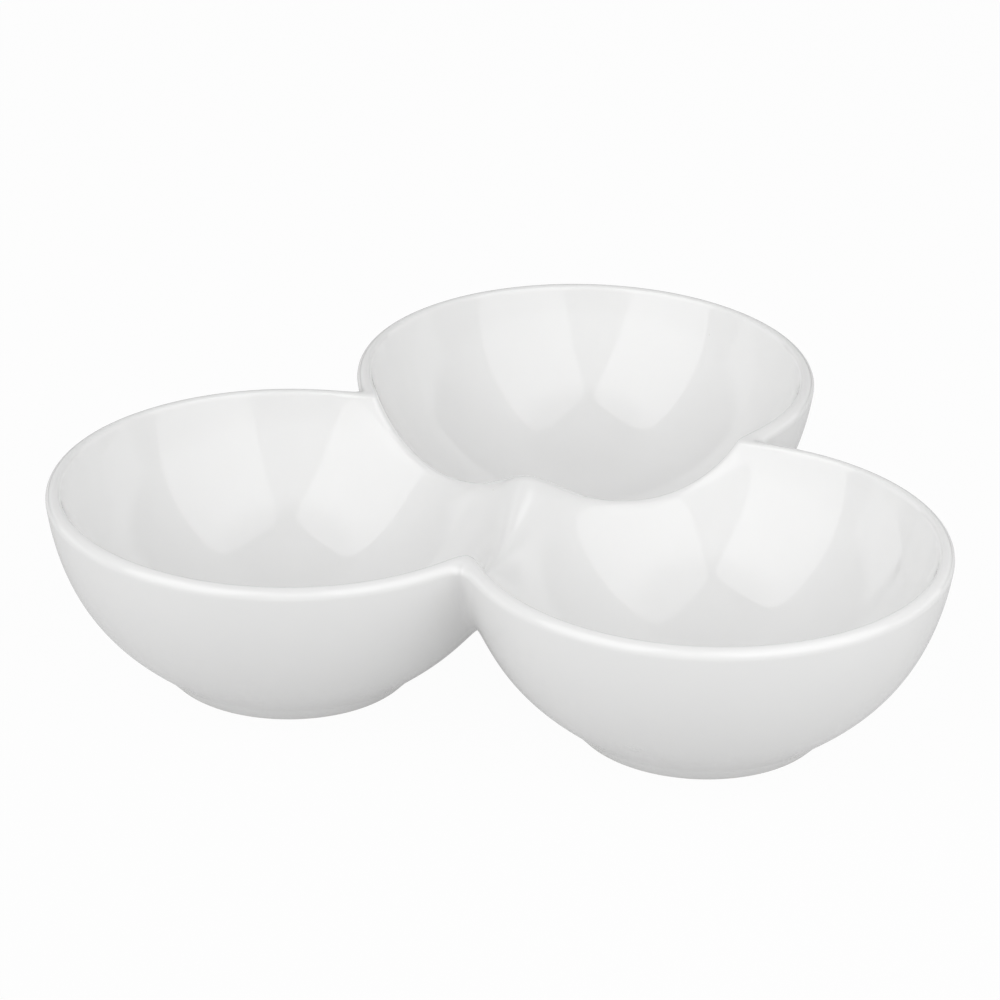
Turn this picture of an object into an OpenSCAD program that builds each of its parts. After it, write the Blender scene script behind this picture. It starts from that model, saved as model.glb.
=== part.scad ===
// Divided serving bowl: three round wells in a trefoil, one foot ring under each.
// The dish stands on z = 0. +Y points to the back well, +X to the right-hand well.
// The origin is the middle of the dish's outline, on the surface that it stands on.

/* [Overall] */
// How far the lip circles of two neighbouring wells overlap
lip_overlap = 10.6; // [8:0.2:14]
// Height from the table to the top of the lip
dish_h = 56.3; // [52:0.1:64]

/* [Lip] */
// Radius of the circle along the very top of the lip
lip_r = 65; // [63:0.1:67]
// Radius of the lip's outer round
lip_outer_round = 3.1; // [2:0.1:4.5]
// Radius of the lip's inner round
lip_inner_round = 0.8; // [0.4:0.1:1.6]

/* [Outer wall] */
// Lean of the wall just under the lip, in degrees from upright
lip_lean = 7.7; // [2:0.1:14]
// Length over which the wall keeps that lean
lip_pull = 31.4; // [24:0.1:36]
// Rise of the wall where it leaves the foot, in degrees from level
shoulder_rise = 41.7; // [34:0.1:48]
// Length over which the wall keeps that rise
shoulder_pull = 10.1; // [5:0.1:15]

/* [Floor and foot rings] */
// Thickness of a well's floor at its middle
floor_t = 4; // [2.5:0.1:6]
// Depth of the hollow inside the foot ring
foot_recess = 3.4; // [2.4:0.1:4]
// Radius where the wall meets the foot's flank
foot_top_r = 39.4; // [37.5:0.1:43]
// Height of that meeting line above the table
foot_top_h = 5.1; // [4.5:0.1:8]
// Outer radius of the flat that touches the table
foot_flat_r = 34; // [32:0.1:36]
// Width of that flat
foot_flat_w = 4; // [2.5:0.1:6]
// Radius of the foot's outer bottom edge
foot_outer_round = 1.4; // [0.6:0.1:2.2]
// Radius of the foot's inner bottom edge
foot_inner_round = 1; // [0.4:0.1:1.8]

/* [Dividers] */
// Radius of the round along a divider's crest
crest_round = 4; // [2.4:0.1:4.8]
// Radius of the fillet in the groove between two outer walls
groove_round = 3.4; // [2:0.1:4.4]
// Half the thickness of the slab that each divider fills
divider_half = 4.5; // [4.2:0.1:6]
// Drop from the lip to the peak where the three dividers meet
peak_drop = 5.2; // [3.5:0.1:8]

/* [Smoothness] */
// Sides of each turned surface
turn_sides = 128; // [64:16:192]
// Steps along each drawn curve
curve_steps = 18; // [10:1:30]
// Steps along each small edge round
round_steps = 6; // [4:1:10]

/* [Hidden] */

// Directions of the wells and of the dividers, seen from the middle of the trefoil
back_dir = 90;
left_dir = 210;
right_dir = 330;
front_divider_dir = 270;
left_divider_dir = 150;
right_divider_dir = 30;

// The wells' axes stand on a circle, and a divider is halfway between two of them
bowl_spacing = 2 * lip_r - lip_overlap;
axis_circle_r = bowl_spacing / sqrt(3);
half_spacing = bowl_spacing / 2;
divider_mid = half_spacing / sqrt(3);
// The outline's middle lies behind the trefoil's middle by a quarter of the circle
middle_y = -axis_circle_r / 4;
dish_reach = axis_circle_r + lip_r + lip_outer_round;
// How far a cutting shape runs past what it cuts
overrun = foot_recess / 2;

// Each well is part of a sphere that runs smoothly into the lip's inner round
well_floor_h = foot_recess + floor_t;
well_depth = dish_h - well_floor_h;
well_sphere_r = (lip_r * lip_r + well_depth * well_depth) / (2 * well_depth) - lip_inner_round;
well_centre_h = well_floor_h + well_sphere_r;
lip_inner_centre = [lip_r, dish_h - lip_inner_round];
well_rim_angle = atan2(lip_r, well_centre_h - lip_inner_centre[1]);

// The outer wall is one curve, held by two handles at its ends
lip_outer_centre = [lip_r, dish_h - lip_outer_round];
lip_end = lip_outer_centre + lip_outer_round * [cos(lip_lean), -sin(lip_lean)];
lip_handle = lip_end - lip_pull * [sin(lip_lean), cos(lip_lean)];
foot_end = [foot_top_r, foot_top_h];
foot_handle = foot_end + shoulder_pull * [cos(shoulder_rise), sin(shoulder_rise)];

// The foot's flank runs from the wall down to the outer edge round, and meets it smoothly
foot_round_centre = [foot_flat_r, foot_outer_round];
flank_run = foot_end - foot_round_centre;
flank_angle = atan2(flank_run[1], flank_run[0]) - acos(foot_outer_round / norm(flank_run));
flank_foot = foot_round_centre + foot_outer_round * [cos(flank_angle), sin(flank_angle)];
// The foot ring is joined to the bowl at the level of the recess
seat_share = (foot_recess - flank_foot[1]) / (foot_end[1] - flank_foot[1]);
flank_seat = flank_foot + seat_share * (foot_end - flank_foot);
foot_hole_r = foot_flat_r - foot_flat_w - foot_inner_round;

// The crest's round is the path of a ball that rolls against both wells
ball_path_r = sqrt(pow(well_sphere_r + crest_round, 2) - half_spacing * half_spacing);
crest_low_h = well_centre_h - ball_path_r + crest_round;
crest_touch_angle = atan2(half_spacing, ball_path_r);
blade_half = divider_half + overrun;
blade_touch_angle = asin((half_spacing - blade_half) / well_sphere_r);

// The peak's cap falls in a curve from the peak to the dividers' crests
peak_h = dish_h - peak_drop;
peak_reach_share = 0.8;
// The three dividers end on a triangle round the peak, and this is its inner radius
plug_r = divider_half / sqrt(3);

// Points on an arc about a centre
function arc(centre, r, from, to, steps) =
    [for (i = [0 : steps]) let (a = from + (to - from) * i / steps) centre + r * [cos(a), sin(a)]];
function all_but_ends(points) = [for (i = [1 : len(points) - 2]) points[i]];
function reversed(points) = [for (i = [len(points) - 1 : -1 : 0]) points[i]];

// Place and outward direction on the outer wall, with u from 0 at the foot to 1 at the lip
function wall_point(u) =
    pow(1 - u, 3) * foot_end + 3 * pow(1 - u, 2) * u * foot_handle
    + 3 * (1 - u) * pow(u, 2) * lip_handle + pow(u, 3) * lip_end;
function wall_run(u) =
    pow(1 - u, 2) * (foot_handle - foot_end) + 2 * (1 - u) * u * (lip_handle - foot_handle)
    + pow(u, 2) * (lip_end - lip_handle);
function wall_out(u) = let (run = wall_run(u)) [run[1], -run[0]] / norm(run);

// Outer outline from the top of the lip to the foot, each entry a point and its direction
lip_line = [for (i = [0 : round_steps]) let (a = 90 - (90 + lip_lean) * i / round_steps)
    [lip_outer_centre + lip_outer_round * [cos(a), sin(a)], [cos(a), sin(a)]]];
wall_line = [for (i = [1 : curve_steps]) let (u = 1 - i / curve_steps) [wall_point(u), wall_out(u)]];
outer_points = [for (place = concat(lip_line, wall_line)) place[0]];

// Where a ball that rolls in the groove between two walls comes nearest to the divider
function groove_point(place) =
    let (ball = place[0] + groove_round * place[1],
         across = sqrt(pow(ball[0], 2) - pow(half_spacing, 2)),
         out = [place[1][0] * across / ball[0], place[1][1]])
    [across, ball[1]] - groove_round * out / norm(out);
function groove_line(line) =
    [for (place = line) if (place[0][0] + groove_round * place[1][0] > half_spacing) groove_point(place)];
wall_groove = groove_line(wall_line);
web_half = concat(groove_line(lip_line), wall_groove);

// Height of the peak's cap at a distance from the middle of the trefoil
function cap_h(t) = crest_low_h + (peak_h - crest_low_h) * pow(1 - t / divider_mid, 2);
// The plug under the peak is as thick as the dividers are where they meet it
plug_low_h = lookup(divider_mid - plug_r, reversed(wall_groove));

// Puts a shape that is drawn about the trefoil's middle, or about a well's axis, in its place
module at_middle(dir) {
    translate([0, middle_y, 0]) rotate([0, 0, dir]) children();
}

module at_well(dir) {
    at_middle(dir) translate([axis_circle_r, 0, 0]) children();
}

// Space above the cap of the peak
module above_peak() {
    reach = divider_mid * peak_reach_share;
    rotate_extrude($fn = turn_sides) polygon(concat(
        [for (i = [0 : round_steps]) let (t = reach * i / round_steps) [t, cap_h(t)]],
        [[reach, dish_h + overrun], [0, dish_h + overrun]]));
}

// Sector of the dish that belongs to one well, between the slabs of its two dividers
module sector() {
    tip = 2 * plug_r;
    edge = 2 * dish_reach * [cos(60), sin(60)];
    linear_extrude(dish_h + overrun) polygon([[tip, 0], [tip + edge[0], -edge[1]],
        [tip + 2 * dish_reach, -edge[1]], [tip + 2 * dish_reach, edge[1]], [tip + edge[0], edge[1]]]);
}

// Wall, lip and floor of one well, turned in one piece and cut to its sector
module bowl(dir) {
    well_points = arc([0, well_centre_h], well_sphere_r, -90, well_rim_angle - 90, curve_steps);
    inner_round = arc(lip_inner_centre, lip_inner_round, 90 + well_rim_angle, 90, round_steps);
    color([0.93, 0.93, 0.92]) at_middle(dir) difference() {
        intersection() {
            translate([axis_circle_r, 0, 0]) rotate_extrude($fn = turn_sides)
                polygon(concat(well_points, all_but_ends(inner_round), outer_points,
                    [flank_seat, [0, foot_recess]]));
            sector();
        }
        above_peak();
    }
}

// Outer form of one bowl as a solid, before its well is taken out
module outer_form() {
    rotate_extrude($fn = turn_sides)
        polygon(concat([[0, dish_h]], outer_points, [flank_seat, [0, foot_recess]]));
}

// Web that fills the groove between two outer forms, as deep as the fillet there
module web() {
    mirrored = [for (p = reversed(web_half)) [-p[0], p[1]]];
    rotate([90, 0, 0]) translate([0, 0, -blade_half])
        linear_extrude(2 * blade_half) polygon(concat(web_half, mirrored));
}

// Space outside two neighbouring wells, turned about the line that joins their centres
module blade() {
    turn = crest_touch_angle - blade_touch_angle;
    well_side = [for (i = [0 : round_steps - 1]) let (a = blade_touch_angle + turn * i / round_steps)
        [well_sphere_r * cos(a), half_spacing - well_sphere_r * sin(a)]];
    crest = arc([ball_path_r, 0], crest_round, 180 - crest_touch_angle, 180 + crest_touch_angle,
        2 * round_steps);
    other_side = [for (p = reversed(well_side)) [p[0], -p[1]]];
    rotate([90, 0, 0]) rotate_extrude($fn = turn_sides) polygon(concat(
        [[well_centre_h, blade_half]], well_side, crest, other_side, [[well_centre_h, -blade_half]]));
}

// Slab between two sectors, up to the cap of the peak
module slab() {
    difference() {
        translate([plug_r, -divider_half, 0])
            cube([dish_reach, 2 * divider_half, dish_h + overrun]);
        above_peak();
    }
}

// Wall between two wells, with a rounded crest that dips between the lip and the peak
module divider(dir) {
    color([0.95, 0.95, 0.94]) at_middle(dir) intersection() {
        slab();
        translate([divider_mid, 0, well_centre_h]) blade();
        translate([divider_mid, 0, 0]) union() {
            translate([0, half_spacing, 0]) outer_form();
            translate([0, -half_spacing, 0]) outer_form();
            web();
        }
    }
}

// Plug in the middle of the trefoil, capped by the soft peak where the crests meet
module centre_peak() {
    color([0.96, 0.96, 0.95]) at_middle(back_dir) difference() {
        translate([0, 0, plug_low_h]) linear_extrude(dish_h - plug_low_h) circle(2 * plug_r, $fn = 3);
        above_peak();
    }
}

// Foot ring under one well, with a rounded edge on each side of the flat it stands on
module foot(dir) {
    inner_centre = [foot_hole_r + foot_inner_round, foot_inner_round];
    color([0.88, 0.86, 0.82]) at_well(dir) rotate_extrude($fn = turn_sides) polygon(concat(
        [[foot_hole_r, foot_recess]],
        arc(inner_centre, foot_inner_round, 180, 270, round_steps),
        arc(foot_round_centre, foot_outer_round, -90, flank_angle, round_steps),
        [flank_seat]));
}

bowl(left_dir);  // bowl_left
bowl(right_dir);  // bowl_right
bowl(back_dir);  // bowl_back
divider(front_divider_dir);  // divider_front
divider(left_divider_dir);  // divider_left
divider(right_divider_dir);  // divider_right
centre_peak();
foot(left_dir);  // foot_left
foot(right_dir);  // foot_right
foot(back_dir);  // foot_back
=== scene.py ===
import math

import bmesh
import bpy
import numpy as np
from mathutils import Matrix, Vector


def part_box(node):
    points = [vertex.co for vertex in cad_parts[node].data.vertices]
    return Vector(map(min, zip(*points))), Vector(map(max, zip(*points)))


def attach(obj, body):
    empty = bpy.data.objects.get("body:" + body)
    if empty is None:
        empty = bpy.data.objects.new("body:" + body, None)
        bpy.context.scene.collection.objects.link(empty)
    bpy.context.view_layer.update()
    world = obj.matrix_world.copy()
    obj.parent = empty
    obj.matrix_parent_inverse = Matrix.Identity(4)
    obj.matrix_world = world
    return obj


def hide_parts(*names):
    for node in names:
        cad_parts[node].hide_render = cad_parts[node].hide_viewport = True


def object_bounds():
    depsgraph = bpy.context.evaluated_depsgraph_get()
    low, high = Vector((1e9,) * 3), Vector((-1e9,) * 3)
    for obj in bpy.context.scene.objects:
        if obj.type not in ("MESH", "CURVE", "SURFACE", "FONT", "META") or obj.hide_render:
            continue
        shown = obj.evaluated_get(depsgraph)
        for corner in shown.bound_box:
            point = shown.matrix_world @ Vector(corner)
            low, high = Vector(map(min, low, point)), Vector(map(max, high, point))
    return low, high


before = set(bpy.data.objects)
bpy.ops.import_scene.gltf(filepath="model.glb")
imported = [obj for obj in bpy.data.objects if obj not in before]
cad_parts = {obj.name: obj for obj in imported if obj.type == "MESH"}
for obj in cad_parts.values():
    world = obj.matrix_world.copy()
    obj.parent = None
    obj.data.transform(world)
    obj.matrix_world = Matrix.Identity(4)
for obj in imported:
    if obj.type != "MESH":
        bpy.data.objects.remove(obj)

# The wells: three round bowls about 4 mm thick at the lip, glazed in and out. The dish is slip cast in
# porcelain as one piece, and its walls melt into each other under a thick glaze. So the whole casting is
# drawn here with one well along +X, and each part of the dish is then cut from it and turned to its place.
cad_low, cad_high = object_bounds()
mm = 0.001
hair = 1e-7
WELL_TURNS = {"back": 90, "left": 210, "right": 330}
foot_boxes = {name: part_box("foot_" + name) for name in WELL_TURNS}
well_places = {name: (low + high) / 2 for name, (low, high) in foot_boxes.items()}
middle = sum(well_places.values(), Vector()) / len(well_places)
middle.z = 0
circle_r = (well_places["back"] - middle).xy.length
seat_r = (foot_boxes["back"][1].x - foot_boxes["back"][0].x) / 2
seat_z = foot_boxes["back"][1].z

# The rim stays just under the top of the solids, and the lip's round, which bulges a little past its circle,
# stays inside their sides
rim_gap = 0.002 * mm
rim_z = cad_high.z - rim_gap
lip_outer_round = 3.1 * mm
lip_inner_round = 0.8 * mm
lip_bulge = 0.06 * mm
crown_r = well_places["left"].x - cad_low.x - lip_outer_round - lip_bulge

# The inside of each well is part of a sphere
floor_t = 4 * mm
well_floor_z = seat_z + floor_t
well_depth = rim_z - well_floor_z
sphere_r = (crown_r ** 2 + well_depth ** 2) / (2 * well_depth) - lip_inner_round
sphere_z = well_floor_z + sphere_r

# The outside of each well is one drawn curve from the foot to the lip. It is carried on a little past both
# ends, and softened as glaze softens an edge
lip_lean = math.radians(7.7)
lip_pull = 31.4 * mm
shoulder_rise = math.radians(41.7)
shoulder_pull = 10.1 * mm
foot_top = np.array([39.4, 5.1]) * mm
lip_overrun = 12 * mm
curve_steps = 400
glaze_softening = 1.2 * mm
height_step = 0.02 * mm
lip_end = np.array([crown_r + lip_outer_round * math.cos(lip_lean),
                    rim_z - lip_outer_round - lip_outer_round * math.sin(lip_lean)])
up_the_lip = np.array([math.sin(lip_lean), math.cos(lip_lean)])
lip_handle = lip_end - lip_pull * up_the_lip
foot_handle = foot_top + shoulder_pull * np.array([math.cos(shoulder_rise), math.sin(shoulder_rise)])
share = np.linspace(0, 1, curve_steps)[:, None]
wall = ((1 - share) ** 3 * foot_top + 3 * (1 - share) ** 2 * share * foot_handle
        + 3 * (1 - share) * share ** 2 * lip_handle + share ** 3 * lip_end)
past_lip = lip_end + lip_overrun * up_the_lip
seat = np.array([seat_r, seat_z])
past_seat = seat - (foot_top - seat)
wall = np.vstack([past_seat, seat, wall, past_lip])
heights = np.arange(past_seat[1], past_lip[1], height_step)
window = np.ones(int(glaze_softening / height_step))
spread = len(window) // 2
drawn = np.interp(heights, wall[:, 1], wall[:, 0])
padded = np.pad(drawn, spread, mode="reflect", reflect_type="odd")
radii = np.convolve(padded, window / len(window), mode="same")[spread:-spread]
slopes = np.gradient(radii, heights)

# How far the walls melt into each other, in the groove outside and along the crest inside
groove_melt = 2.6 * mm
crest_melt = 2.7 * mm
# The soft peak in the middle is a shallow rounded cone that fades out along the crests
peak_drop = 4.1 * mm
peak_slope = 0.349
peak_round = 3.25 * mm
peak_fade_from = 15 * mm
peak_fade = 0.03 / mm


def melted(distances, reach):
    """Joins several distances into one whose zero level runs smoothly from each to the next."""
    nearest = np.min(distances, axis=0)
    return nearest - reach * np.log(np.exp((nearest - distances) / reach).sum(axis=0))


def rounded(a, b, radius):
    """Outside of two faces that meet in an edge of that radius."""
    corner = np.hypot(np.maximum(a + radius, 0), np.maximum(b + radius, 0)) - radius
    return np.where((a > -radius) & (b > -radius), corner, np.maximum(a, b))


def outside_clay(points):
    """How far each point is outside the clay, negative inside it. The trefoil's middle is at x = y = 0."""
    x, y, z = points.T
    across = [np.hypot(x - circle_r * math.cos(turn), y - circle_r * math.sin(turn))
              for turn in np.radians([0, 120, 240])]
    lean = np.sqrt(1 + np.interp(z, heights, slopes) ** 2)
    walls = melted(np.array([(r - np.interp(z, heights, radii)) / lean for r in across]), groove_melt)
    away = np.hypot(x, y)
    cap_z = (rim_z - peak_drop - peak_slope * (np.hypot(away, peak_round) - peak_round)
             + peak_fade * np.maximum(away - peak_fade_from, 0) ** 2)
    hollows = [np.hypot(r, z - sphere_z) - sphere_r for r in across]
    hollows.append((cap_z - z) / math.hypot(1, peak_slope))
    hollow = melted(np.array(hollows), crest_melt)
    over_rim = z - rim_z
    return np.maximum(rounded(walls, over_rim, lip_outer_round), rounded(-hollow, over_rim, lip_inner_round))


# The plane through a divider's middle and the zone near the peak where corners only move up or down
mid_away = np.array([-math.sin(math.radians(60)), math.cos(math.radians(60)), 0])
peak_zone = (10 * mm, 22 * mm)
close_enough = 0.001 * mm
probe = 0.01 * mm
longest_move = 1.5 * mm
least_growth = 0.05


def settle(shape, upright, rounds):
    """Moves the corners of a mesh onto the clay's surface, straight up or down near the peak if asked."""
    shape.verts.ensure_lookup_table()
    free = [v for v in shape.verts if v.co.z > seat_z + hair]
    every = np.array([v.co for v in free])
    mid_of_all = np.abs(every @ mid_away) < 10 * hair
    own_of_all = np.abs(every[:, 1]) < hair
    near = np.clip((peak_zone[1] - every[:, 0]) / (peak_zone[1] - peak_zone[0]), 0, 1)
    weight_of_all = (near * near * (3 - 2 * near))[:, None] if upright else np.zeros((len(every), 1))
    for _ in range(rounds):
        off = outside_clay(every)
        todo = np.abs(off) > close_enough
        if not todo.any():
            break
        points, weight = every[todo], weight_of_all[todo]
        growth = np.stack([outside_clay(points + probe * side) - off[todo] for side in np.eye(3)], axis=1)
        growth /= probe
        normal = growth / np.linalg.norm(growth, axis=1)[:, None]
        vertical = np.zeros_like(normal)
        vertical[:, 2] = np.where(normal[:, 2] < 0, -1, 1)
        way = (1 - weight) * normal + weight * vertical
        way /= np.linalg.norm(way, axis=1)[:, None]
        along = np.maximum((growth * way).sum(axis=1), least_growth)
        points -= np.clip(off[todo] / along, -longest_move, longest_move)[:, None] * way
        on_mid = mid_of_all[todo]
        points[on_mid] -= (points[on_mid] @ mid_away)[:, None] * mid_away
        points[own_of_all[todo], 1] = 0
        every[todo] = points
    for v, point in zip(free, every):
        v.co = point


def curve_points(centre, radius, start, end, steps):
    """Points (radius, height) along an arc."""
    return [(centre[0] + radius * math.cos(a), centre[1] + radius * math.sin(a))
            for a in np.radians(np.linspace(start, end, steps + 1))]


# A well is turned in sectors of 10 degrees, one column of faces to a degree
sector = 10


def turned(shape, outline, sheet, degrees):
    """Turns an outline about the axis of the well along +X, from the middle of the dish, as that sheet."""
    part = bmesh.new()
    layer = part.faces.layers.int.new("sheet")
    corners = [part.verts.new((circle_r - r, 0, z)) for r, z in outline]
    lines = [part.edges.new(pair) for pair in zip(corners, corners[1:])]
    bmesh.ops.spin(part, geom=corners + lines, cent=(circle_r, 0, 0), axis=(0, 0, 1), dvec=(0, 0, 0),
                   angle=-math.radians(sector), steps=sector, use_merge=False, use_duplicate=False)
    for face in part.faces:
        face[layer] = sheet
    first = part.verts[:] + part.edges[:] + part.faces[:]
    for start in range(sector, degrees, sector):
        made = bmesh.ops.duplicate(part, geom=first)["geom"]
        bmesh.ops.rotate(part, verts=[e for e in made if isinstance(e, bmesh.types.BMVert)],
                         cent=(circle_r, 0, 0), matrix=Matrix.Rotation(-math.radians(start), 3, "Z"))
    turned_mesh = bpy.data.meshes.new("turned")
    part.to_mesh(turned_mesh)
    shape.from_mesh(turned_mesh)
    bpy.data.meshes.remove(turned_mesh)


# The outlines of one well. OVER and UNDER are flat sheets across the middle of the dish, where the wells
# have no walls of their own: one settles onto the crests and the peak, the other onto the hollow underneath.
WELL, OVER, WALL, UNDER = 1, 2, 3, 4
ring_gap = 1.1 * mm
inner_round_steps = 6
outer_round_steps = 10
wall_rows = 60
rim_angle = math.degrees(math.atan2(crown_r, sphere_z - rim_z + lip_inner_round))
well_steps = int(math.radians(rim_angle) * sphere_r / ring_gap)
inside = curve_points((0, sphere_z), sphere_r, -90, rim_angle - 90, well_steps)
inside += curve_points((crown_r, rim_z - lip_inner_round), lip_inner_round, 90 + rim_angle, 90,
                       inner_round_steps)[1:]
crown = (crown_r, rim_z)
inside[-1] = crown
outside = [crown] + curve_points((crown_r, rim_z - lip_outer_round), lip_outer_round,
                                 90, -math.degrees(lip_lean), outer_round_steps)[1:]
wall_z = np.linspace(lip_end[1], seat_z, wall_rows)[1:]
outside += [(float(np.interp(z, heights, radii)), float(z)) for z in wall_z]
outside[-1] = (seat_r, seat_z)
chimney_r = crown_r - 1 * mm
chimney = next(i for i, (r, z) in enumerate(outside) if i > outer_round_steps and r < chimney_r)
chimney_z = outside[chimney][1]
past_middle_r = circle_r + 0.4 * mm
over = [(r, rim_z) for r in np.linspace(crown_r, past_middle_r, 6)]
under = [(r, chimney_z) for r in np.linspace(outside[chimney][0], past_middle_r, 7)]
underneath = [(seat_r * s, seat_z) for s in (0.75, 0.4, 0)]

# One half of one well is enough: the other half is its mirror image
casting = bmesh.new()
casting.faces.layers.int.new("sheet")
casting.faces.layers.int.new("seam")
turned(casting, inside, WELL, 180)
turned(casting, over, OVER, 40)
turned(casting, outside + underneath, WALL, 180)
turned(casting, under, UNDER, 40)
same_spot = 0.002 * mm
near_own_plane = 0.001 * mm
near_mid_plane = 0.12 * mm
bmesh.ops.remove_doubles(casting, verts=casting.verts[:], dist=same_spot)
for v in casting.verts:
    if abs(v.co.y) < near_own_plane:
        v.co.y = 0
    off = v.co.dot(Vector(mid_away))
    if abs(off) < near_mid_plane and v.co.z > seat_z + hair:
        v.co -= off * Vector(mid_away)
everything = casting.verts[:] + casting.edges[:] + casting.faces[:]
bmesh.ops.bisect_plane(casting, geom=everything, dist=hair, plane_co=(0, 0, 0), plane_no=mid_away,
                       clear_outer=True)
sheet_of = casting.faces.layers.int["sheet"]
sheets_meet = 15 * mm
spare = []
for face in casting.faces:
    spot = face.calc_center_median()
    by_peak = spot.x < sheets_meet
    if face[sheet_of] in (OVER, UNDER) and not by_peak:
        spare.append(face)
    if face[sheet_of] == WALL and by_peak and spot.z > chimney_z:
        spare.append(face)
bmesh.ops.delete(casting, geom=spare, context="FACES")
settle(casting, upright=True, rounds=40)

# The faces beside a divider are halved where the form turns most, and again at the lip
above_foot = seat_z + 6 * mm
at_the_lip = (50 * mm, rim_z - 14 * mm)


def refine(shape, beside, longest, lip_only):
    """Halves the long edges beside a divider."""
    def wanted(edge):
        for v in edge.verts:
            if v.co.z < above_foot or abs(v.co.dot(Vector(mid_away))) > beside:
                return False
            if lip_only and (v.co.xy.length < at_the_lip[0] or v.co.z < at_the_lip[1]):
                return False
        return edge.calc_length() > longest
    long_edges = [e for e in shape.edges if wanted(e)]
    bmesh.ops.subdivide_edges(shape, edges=long_edges, cuts=1, use_grid_fill=True)
    settle(shape, upright=False, rounds=6)


refine(casting, 8 * mm, 0.8 * mm, lip_only=False)
refine(casting, 10 * mm, 0.6 * mm, lip_only=True)
half = casting.verts[:] + casting.edges[:] + casting.faces[:]
copy = bmesh.ops.duplicate(casting, geom=half)["geom"]
flipped = [e for e in copy if isinstance(e, bmesh.types.BMVert)]
bmesh.ops.scale(casting, verts=flipped, vec=(1, -1, 1))
bmesh.ops.reverse_faces(casting, faces=[e for e in copy if isinstance(e, bmesh.types.BMFace)])
third = casting.verts[:] + casting.edges[:] + casting.faces[:]
for degrees in (120, 240):
    made = bmesh.ops.duplicate(casting, geom=third)["geom"]
    corners = [e for e in made if isinstance(e, bmesh.types.BMVert)]
    turn = Matrix.Rotation(math.radians(degrees), 3, "Z")
    bmesh.ops.rotate(casting, verts=corners, cent=(0, 0, 0), matrix=turn)
bmesh.ops.remove_doubles(casting, verts=casting.verts[:], dist=2 * same_spot)
bmesh.ops.recalc_face_normals(casting, faces=casting.faces[:])


def cut_out(shape, planes):
    """Part of the casting inside all the planes, closed where they cut."""
    part = shape.copy()
    seam = part.faces.layers.int["seam"]
    for place, away in planes:
        everything = part.verts[:] + part.edges[:] + part.faces[:]
        cut = bmesh.ops.bisect_plane(part, geom=everything, dist=hair, plane_co=place, plane_no=away,
                                     clear_outer=True)["geom_cut"]
        edges = [e for e in cut if isinstance(e, bmesh.types.BMEdge)]
        closed = bmesh.ops.triangle_fill(part, edges=edges, use_beauty=False, use_dissolve=False,
                                         normal=away)
        for face in closed["geom"]:
            if isinstance(face, bmesh.types.BMFace):
                face[seam] = 1
    return part


def facing(points):
    """Direction that grows fastest away from the clay, not yet of length 1."""
    reach = 0.05 * mm
    rises = [outside_clay(points + reach * side) - outside_clay(points - reach * side) for side in np.eye(3)]
    return np.stack(rises, axis=1) / (2 * reach)


def shaded(part, material):
    """Mesh of a part of the casting, shaded as the clay's own surface but flat on its cuts and its seat."""
    mesh = bpy.data.meshes.new("part")
    part.to_mesh(mesh)
    mesh.shade_smooth()
    points = np.empty(len(mesh.vertices) * 3)
    mesh.vertices.foreach_get("co", points)
    growth = facing(points.reshape(-1, 3))
    surface = growth / np.maximum(np.linalg.norm(growth, axis=1), 1e-9)[:, None]
    corner_of = np.empty(len(mesh.loops), int)
    mesh.loops.foreach_get("vertex_index", corner_of)
    sizes = np.empty(len(mesh.polygons), int)
    mesh.polygons.foreach_get("loop_total", sizes)
    flat = np.empty(len(mesh.polygons) * 3)
    mesh.polygons.foreach_get("normal", flat)
    flat = flat.reshape(-1, 3)
    seam = np.empty(len(mesh.polygons), int)
    mesh.attributes["seam"].data.foreach_get("value", seam)
    centre_z = np.array([p.center.z for p in mesh.polygons])
    on_seat = (flat[:, 2] < -0.99) & (centre_z < seat_z + 0.01 * mm)
    plain = np.repeat((seam > 0) | on_seat, sizes)[:, None]
    normals = np.where(plain, np.repeat(flat, sizes, axis=0), surface[corner_of])
    mesh.normals_split_custom_set(normals.tolist())
    for spare_layer in ("seam", "sheet"):
        mesh.attributes.remove(mesh.attributes[spare_layer])
    mesh.materials.append(material)
    return mesh


def placed(part_mesh, name, degrees):
    """A finished piece, turned to its place about the middle of the dish."""
    mesh = part_mesh.copy()
    mesh.name = name
    mesh.transform(Matrix.Translation(middle) @ Matrix.Rotation(math.radians(degrees), 4, "Z"))
    piece = bpy.data.objects.new(name, mesh)
    bpy.context.scene.collection.objects.link(piece)
    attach(piece, "root")
    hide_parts(name)


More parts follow.
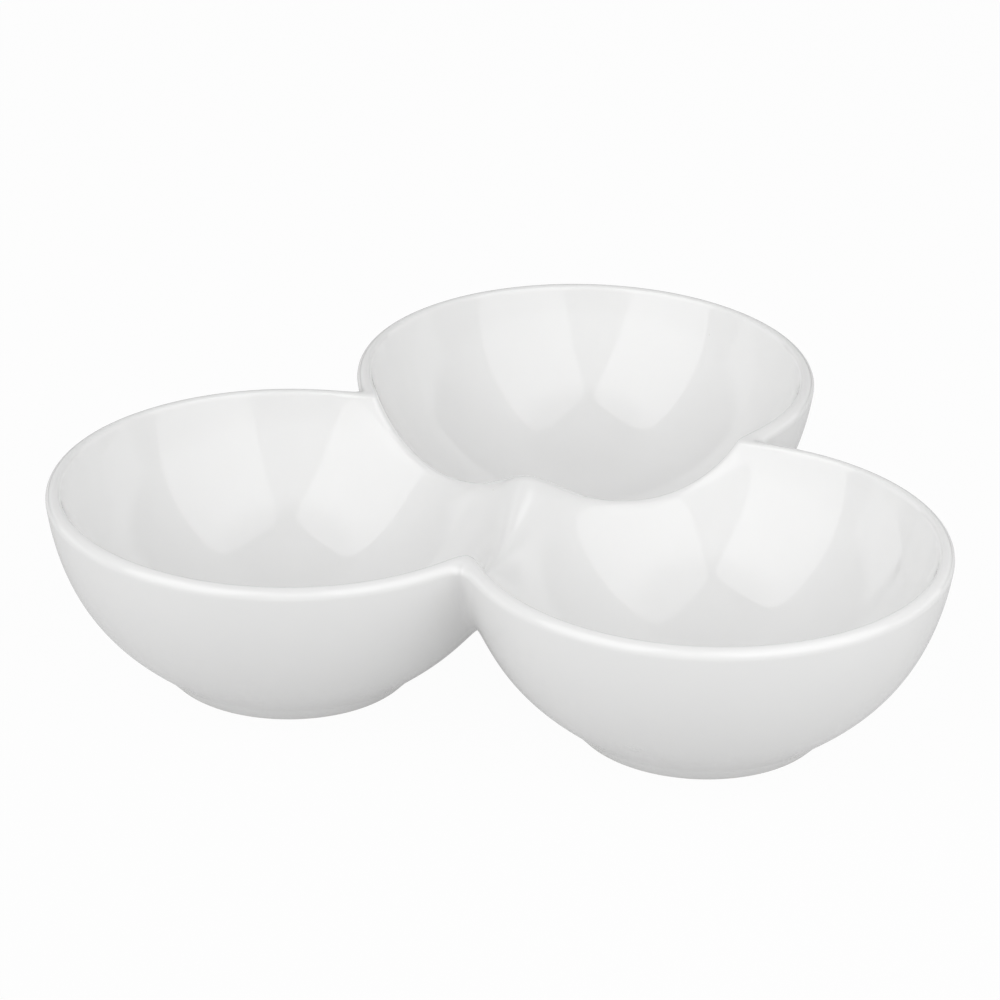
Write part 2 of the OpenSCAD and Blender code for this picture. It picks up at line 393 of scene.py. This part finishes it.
def glaze_material():
    """White glaze over porcelain: clear and glossy, with a faint unevenness and a few specks."""
    material = bpy.data.materials.new("white_glaze")
    material.use_nodes = True
    nodes, links = material.node_tree.nodes, material.node_tree.links
    shader = nodes["Principled BSDF"]
    shader.inputs["IOR"].default_value = 1.6
    place = nodes.new("ShaderNodeTexCoord")
    cloud = nodes.new("ShaderNodeTexNoise")
    cloud.inputs["Scale"].default_value = 28
    cloud.inputs["Detail"].default_value = 3
    links.new(place.outputs["Object"], cloud.inputs["Vector"])
    tint = nodes.new("ShaderNodeMix")
    tint.data_type = "RGBA"
    tint.inputs["A"].default_value = (0.800, 0.800, 0.797, 1)
    tint.inputs["B"].default_value = (0.826, 0.826, 0.822, 1)
    links.new(cloud.outputs["Fac"], tint.inputs["Factor"])
    cell = nodes.new("ShaderNodeTexVoronoi")
    cell.inputs["Scale"].default_value = 34
    cell.inputs["Randomness"].default_value = 1
    links.new(place.outputs["Object"], cell.inputs["Vector"])
    speck = nodes.new("ShaderNodeMapRange")
    speck.inputs["From Min"].default_value = 0.003
    speck.inputs["From Max"].default_value = 0.007
    speck.inputs["To Min"].default_value = 1
    speck.inputs["To Max"].default_value = 0
    links.new(cell.outputs["Distance"], speck.inputs["Value"])
    body = nodes.new("ShaderNodeMix")
    body.data_type = "RGBA"
    body.inputs["B"].default_value = (0.60, 0.58, 0.54, 1)
    links.new(speck.outputs["Result"], body.inputs["Factor"])
    links.new(tint.outputs["Result"], body.inputs["A"])
    links.new(body.outputs["Result"], shader.inputs["Base Color"])
    shine = nodes.new("ShaderNodeMapRange")
    shine.inputs["To Min"].default_value = 0.012
    shine.inputs["To Max"].default_value = 0.045
    links.new(cloud.outputs["Fac"], shine.inputs["Value"])
    links.new(shine.outputs["Result"], shader.inputs["Roughness"])
    peel = nodes.new("ShaderNodeTexNoise")
    peel.inputs["Scale"].default_value = 85
    peel.inputs["Detail"].default_value = 1
    links.new(place.outputs["Object"], peel.inputs["Vector"])
    bump = nodes.new("ShaderNodeBump")
    bump.inputs["Strength"].default_value = 0.12
    bump.inputs["Distance"].default_value = 0.00012
    links.new(peel.outputs["Fac"], bump.inputs["Height"])
    # A small rough patch where the glaze crawled, low on the front of the right-hand well
    reach = nodes.new("ShaderNodeVectorMath")
    reach.operation = "DISTANCE"
    reach.inputs[1].default_value = (0.0532, -0.1040, 0.0172)
    links.new(place.outputs["Object"], reach.inputs[0])
    patch = nodes.new("ShaderNodeMapRange")
    patch.interpolation_type = "SMOOTHSTEP"
    patch.inputs["From Min"].default_value = 0.0008
    patch.inputs["From Max"].default_value = 0.0042
    patch.inputs["To Min"].default_value = 1
    patch.inputs["To Max"].default_value = 0
    links.new(reach.outputs["Value"], patch.inputs["Value"])
    crawl = nodes.new("ShaderNodeTexNoise")
    crawl.inputs["Scale"].default_value = 900
    crawl.inputs["Detail"].default_value = 2
    links.new(place.outputs["Object"], crawl.inputs["Vector"])
    rough_patch = nodes.new("ShaderNodeMath")
    rough_patch.operation = "MULTIPLY"
    links.new(crawl.outputs["Fac"], rough_patch.inputs[0])
    links.new(patch.outputs["Result"], rough_patch.inputs[1])
    pits = nodes.new("ShaderNodeBump")
    pits.inputs["Strength"].default_value = 0.8
    pits.inputs["Distance"].default_value = 0.0003
    links.new(rough_patch.outputs["Value"], pits.inputs["Height"])
    links.new(bump.outputs["Normal"], pits.inputs["Normal"])
    links.new(pits.outputs["Normal"], shader.inputs["Normal"])
    return material


# Each well lies between the two dividers that it shares with its neighbours
divider_low, divider_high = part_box("divider_front")
divider_half = (divider_high.x - divider_low.x) / 2
glaze = glaze_material()
well_planes = []
for side in (1, -1):
    well_planes.append((tuple(-divider_half * mid_away * (1, side, 1)), tuple(mid_away * (1, side, 1))))
well = shaded(cut_out(casting, well_planes), glaze)
for name, degrees in WELL_TURNS.items():
    placed(well, "bowl_" + name, degrees)

# The dividers: the walls between two wells, with a soft crest inside and a filled groove outside.
# They are the same porcelain and glaze as the wells, cast with them, and run from the lip to the peak.
plug_r = middle.y - divider_high.y
along = np.array([math.cos(math.radians(60)), math.sin(math.radians(60)), 0])
divider = shaded(cut_out(casting, [(tuple(divider_half * mid_away), tuple(mid_away)),
                                   (tuple(-divider_half * mid_away), tuple(-mid_away)),
                                   (tuple(plug_r * along), tuple(-along))]), glaze)
for name, degrees in {"front": 270, "left": 150, "right": 30}.items():
    placed(divider, "divider_" + name, degrees - 60)

# The centre peak: a small plug of the same porcelain where the three crests meet, a little higher than any
# of them. It is cast with the rest, and the three grooves underneath end against it.
peak_sides = [np.array([math.cos(a), math.sin(a), 0]) for a in np.radians([60, 180, 300])]
peak = shaded(cut_out(casting, [(tuple(plug_r * side), tuple(side)) for side in peak_sides]), glaze)
placed(peak, "centre_peak", 90)

# The foot rings: a low ring under each well, turned with the clay still leather hard. The glaze runs down
# both flanks and is wiped from the flat that stands in the kiln, which shows the bare biscuit.
foot_flat_r = 34 * mm
foot_flat_w = 4 * mm
foot_outer_round = 1.4 * mm
foot_inner_round = 1 * mm
foot_fillet = 1.2 * mm
foot_steps = 240


def foot_material():
    """Glaze on the flanks and dry biscuit on the flat, with an uneven line between them."""
    material = glaze_material()
    material.name = "foot_glaze"
    nodes, links = material.node_tree.nodes, material.node_tree.links
    glazed = nodes["Principled BSDF"]
    dry = nodes.new("ShaderNodeBsdfPrincipled")
    dry.inputs["Base Color"].default_value = (0.73, 0.70, 0.64, 1)
    dry.inputs["Roughness"].default_value = 0.72
    place = nodes.new("ShaderNodeTexCoord")
    grit = nodes.new("ShaderNodeTexNoise")
    grit.inputs["Scale"].default_value = 2400
    links.new(place.outputs["Object"], grit.inputs["Vector"])
    bump = nodes.new("ShaderNodeBump")
    bump.inputs["Strength"].default_value = 0.4
    bump.inputs["Distance"].default_value = 0.00004
    links.new(grit.outputs["Fac"], bump.inputs["Height"])
    links.new(bump.outputs["Normal"], dry.inputs["Normal"])
    wobble = nodes.new("ShaderNodeTexNoise")
    wobble.inputs["Scale"].default_value = 160
    links.new(place.outputs["Object"], wobble.inputs["Vector"])
    height = nodes.new("ShaderNodeSeparateXYZ")
    links.new(place.outputs["Object"], height.inputs["Vector"])
    line = nodes.new("ShaderNodeMath")
    line.operation = "MULTIPLY_ADD"
    line.inputs[1].default_value = 0.0004
    line.inputs[2].default_value = 0.00015
    links.new(wobble.outputs["Fac"], line.inputs[0])
    wiped = nodes.new("ShaderNodeMath")
    wiped.operation = "LESS_THAN"
    links.new(height.outputs["Z"], wiped.inputs[0])
    links.new(line.outputs["Value"], wiped.inputs[1])
    mixed = nodes.new("ShaderNodeMixShader")
    links.new(wiped.outputs["Value"], mixed.inputs["Fac"])
    links.new(glazed.outputs["BSDF"], mixed.inputs[1])
    links.new(dry.outputs["BSDF"], mixed.inputs[2])
    links.new(mixed.outputs["Shader"], nodes["Material Output"].inputs["Surface"])
    return material


run = np.array([foot_top[0] - foot_flat_r, foot_top[1] - foot_outer_round])
flank_angle = math.degrees(math.atan2(run[1], run[0]) - math.acos(foot_outer_round / np.hypot(*run)))
hole_r = foot_flat_r - foot_flat_w - foot_inner_round
ring = curve_points((hole_r - foot_fillet, seat_z - foot_fillet), foot_fillet, 90, 0, steps=6)
ring += curve_points((hole_r + foot_inner_round, foot_inner_round), foot_inner_round, 180, 270, steps=8)
ring += curve_points((foot_flat_r, foot_outer_round), foot_outer_round, -90, flank_angle, steps=12)
ring += [(seat_r, seat_z)]
foot_glaze = foot_material()
foot = bmesh.new()
corners = [foot.verts.new((r, 0, z)) for r, z in ring]
lines = [foot.edges.new(pair) for pair in zip(corners, corners[1:] + corners[:1])]
bmesh.ops.spin(foot, geom=corners + lines, cent=(0, 0, 0), axis=(0, 0, 1), dvec=(0, 0, 0),
               angle=2 * math.pi, steps=foot_steps, use_merge=True, use_duplicate=False)
bmesh.ops.remove_doubles(foot, verts=foot.verts[:], dist=same_spot)
bmesh.ops.recalc_face_normals(foot, faces=foot.faces[:])
for name, place in well_places.items():
    mesh = bpy.data.meshes.new("foot_" + name)
    foot.to_mesh(mesh)
    mesh.transform(Matrix.Translation((place.x, place.y, 0)))
    mesh.shade_smooth()
    for edge in mesh.edges:
        if all(mesh.vertices[i].co.z > seat_z - hair for i in edge.vertices):
            edge.use_edge_sharp = True
    mesh.materials.append(foot_glaze)
    piece = bpy.data.objects.new("foot_" + name, mesh)
    bpy.context.scene.collection.objects.link(piece)
    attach(piece, "root")
    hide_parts("foot_" + name)

# The studio floor: a sheet of pale paper, 8 m across, laid flat under the dish. It also glows a little, which
# is painted light from below onto the lower walls and feet of the dish. To the camera it is nearly white but
# keeps the dish's faint shadow.
floor_half = 4
paper_grey = 0.4
painted_floor_glow = 0.3
white_share = 0.95
floor_mesh = bpy.data.meshes.new("floor")
floor_shape = bmesh.new()
bmesh.ops.create_grid(floor_shape, x_segments=1, y_segments=1, size=floor_half)
floor_shape.to_mesh(floor_mesh)
floor = bpy.data.objects.new("floor", floor_mesh)
bpy.context.scene.collection.objects.link(floor)
paper = bpy.data.materials.new("pale_floor")
paper.use_nodes = True
nodes, links = paper.node_tree.nodes, paper.node_tree.links
dull = nodes["Principled BSDF"]
dull.inputs["Base Color"].default_value = (paper_grey, paper_grey, paper_grey, 1)
dull.inputs["Roughness"].default_value = 1
# Painted light: the floor's own glow, an emission that lights the dish from below
dull.inputs["Emission Color"].default_value = (1, 1, 1, 1)
dull.inputs["Emission Strength"].default_value = painted_floor_glow
white = nodes.new("ShaderNodeEmission")
seen = nodes.new("ShaderNodeLightPath")
part_seen = nodes.new("ShaderNodeMath")
part_seen.operation = "MULTIPLY"
part_seen.inputs[1].default_value = white_share
links.new(seen.outputs["Is Camera Ray"], part_seen.inputs[0])
mixed = nodes.new("ShaderNodeMixShader")
links.new(part_seen.outputs["Value"], mixed.inputs["Fac"])
links.new(dull.outputs["BSDF"], mixed.inputs[1])
links.new(white.outputs["Emission"], mixed.inputs[2])
links.new(mixed.outputs["Shader"], nodes["Material Output"].inputs["Surface"])
floor_mesh.materials.append(paper)

# The studio room: plain white to the camera. As a light it is strong on the camera's side, and dim overhead
# and low down behind the dish. A lighter panel stands low on either side, and the wells mirror it.
away_from_camera = (-0.2526, 0.9676, 0)
world = bpy.data.worlds.new("white_studio")
bpy.context.scene.world = world
world.use_nodes = True
nodes, links = world.node_tree.nodes, world.node_tree.links
soft = nodes["Background"]
soft.inputs["Color"].default_value = (1, 1, 1, 1)
toward = nodes.new("ShaderNodeTexCoord")
height = nodes.new("ShaderNodeSeparateXYZ")
links.new(toward.outputs["Generated"], height.inputs["Vector"])
past = nodes.new("ShaderNodeVectorMath")
past.operation = "DOT_PRODUCT"
past.inputs[1].default_value = away_from_camera
links.new(toward.outputs["Generated"], past.inputs[0])


def world_blend(source, low, high, first, second):
    """Blends two strengths, or two blends, as the source runs from low to high."""
    ramp = nodes.new("ShaderNodeMapRange")
    ramp.interpolation_type = "SMOOTHSTEP"
    ramp.inputs["From Min"].default_value = low
    ramp.inputs["From Max"].default_value = high
    links.new(source, ramp.inputs["Value"])
    blend = nodes.new("ShaderNodeMix")
    links.new(ramp.outputs["Result"], blend.inputs["Factor"])
    for socket, value in (("A", first), ("B", second)):
        if isinstance(value, float):
            blend.inputs[socket].default_value = value
        else:
            links.new(value, blend.inputs[socket])
    return blend.outputs["Result"]


room_low, far_end_low, side_panel, near_wall, far_wall, overhead = 0.69, 0.05, 1.15, 1.00, 0.46, 0.06
far_end = world_blend(height.outputs["Z"], 0.08, 0.18, far_end_low, room_low)
panels = world_blend(past.outputs["Value"], 0.57, 0.62, side_panel, far_end)
skirting = world_blend(past.outputs["Value"], -0.03, 0.03, room_low, panels)
walls = world_blend(past.outputs["Value"], -0.3, 0.3, near_wall, far_wall)
lower = world_blend(height.outputs["Z"], 0.3, 0.42, skirting, walls)
links.new(world_blend(height.outputs["Z"], 0.84, 0.96, lower, overhead), soft.inputs["Strength"])
behind = nodes.new("ShaderNodeBackground")
behind.inputs["Strength"].default_value = 1
seen = nodes.new("ShaderNodeLightPath")
mixed = nodes.new("ShaderNodeMixShader")
links.new(seen.outputs["Is Camera Ray"], mixed.inputs["Fac"])
links.new(soft.outputs["Background"], mixed.inputs[1])
links.new(behind.outputs["Background"], mixed.inputs[2])
links.new(mixed.outputs["Shader"], nodes["World Output"].inputs["Surface"])

# The softboxes: two cloth fronted lamps to the left and right of the camera, on stands, that lean in over the
# dish. Their images are the paired long lights on the far wall of each well.
rim_middle = middle + Vector((0, 0, rim_z))


def softbox(name, offset, yaw, lean, twist, width, height, radiance):
    """A soft light with rounded corners, at an offset from the middle of the rim. Angles are in degrees."""
    lamp = bpy.data.lights.new(name, "AREA")
    lamp.shape = "RECTANGLE"
    lamp.size, lamp.size_y = width, height
    lamp.energy = radiance * math.pi * width * height
    lamp.use_nodes = True
    nodes, links = lamp.node_tree.nodes, lamp.node_tree.links
    glow = next(node for node in nodes if node.type == "EMISSION")
    face = nodes.new("ShaderNodeNewGeometry")
    spot = nodes.new("ShaderNodeVectorMath")
    spot.operation = "MULTIPLY_ADD"
    spot.inputs[1].default_value = (2, 2, 0)
    spot.inputs[2].default_value = (-1, -1, 0)
    links.new(face.outputs["Parametric"], spot.inputs[0])
    square = nodes.new("ShaderNodeVectorMath")
    square.operation = "MULTIPLY"
    links.new(spot.outputs["Vector"], square.inputs[0])
    links.new(spot.outputs["Vector"], square.inputs[1])
    fourth = nodes.new("ShaderNodeVectorMath")
    fourth.operation = "MULTIPLY"
    links.new(square.outputs["Vector"], fourth.inputs[0])
    links.new(square.outputs["Vector"], fourth.inputs[1])
    eighth = nodes.new("ShaderNodeVectorMath")
    eighth.operation = "DOT_PRODUCT"
    links.new(fourth.outputs["Vector"], eighth.inputs[0])
    links.new(fourth.outputs["Vector"], eighth.inputs[1])
    edge = nodes.new("ShaderNodeMapRange")
    edge.interpolation_type = "SMOOTHSTEP"
    edge.inputs["From Min"].default_value = 0.97
    edge.inputs["From Max"].default_value = 1.03
    edge.inputs["To Min"].default_value = 1
    edge.inputs["To Max"].default_value = 0
    links.new(eighth.outputs["Value"], edge.inputs["Value"])
    links.new(edge.outputs["Result"], glow.inputs["Strength"])
    light = bpy.data.objects.new(name, lamp)
    bpy.context.scene.collection.objects.link(light)
    yaw, lean = math.radians(yaw), math.radians(lean)
    out = Vector((math.sin(yaw) * math.cos(lean), -math.cos(yaw) * math.cos(lean), math.sin(lean)))
    side = Vector((math.cos(yaw), math.sin(yaw), 0))
    axes = Matrix((side, out.cross(side), out)).transposed()
    light.matrix_world = (Matrix.Translation(rim_middle + Vector(offset))
                          @ (axes @ Matrix.Rotation(math.radians(twist), 3, "Z")).to_4x4())
    light.visible_camera = False


softbox("left_softbox", (-0.528, -0.667, 0.810), yaw=-42.7, lean=29.3, twist=9.9,
        width=1.06, height=1.76, radiance=0.91)
softbox("right_softbox", (0.243, -0.140, 0.355), yaw=79.6, lean=23.2, twist=-18.0,
        width=0.475, height=0.72, radiance=0.76)

# The camera: it stands a little to the right of the front divider and looks down on the dish through a long
# lens. Its place, turn and lens come from the outlines of the dish in the photograph.
azimuth, elevation, roll = math.radians(14.63), math.radians(25.25), math.radians(1.02)
distance = 1209.5 * mm
slide, drop = -7.44 * mm, -11.27 * mm
back = Vector((math.sin(azimuth) * math.cos(elevation), -math.cos(azimuth) * math.cos(elevation),
               math.sin(elevation)))
level = Vector((math.cos(azimuth), math.sin(azimuth), 0))
upward = back.cross(level)
eye = bpy.data.cameras.new("camera")
eye.sensor_width = 36
eye.lens = 153.42
eye.clip_start = 0.05
eye.clip_end = 50
camera = bpy.data.objects.new("camera", eye)
bpy.context.scene.collection.objects.link(camera)
right = math.cos(roll) * level + math.sin(roll) * upward
top = -math.sin(roll) * level + math.cos(roll) * upward
camera.matrix_world = (Matrix.Translation(rim_middle + back * distance + level * slide + upward * drop)
                       @ Matrix((right, top, back)).transposed().to_4x4())
bpy.context.scene.camera = camera
bpy.context.scene.view_settings.view_transform = "Standard"
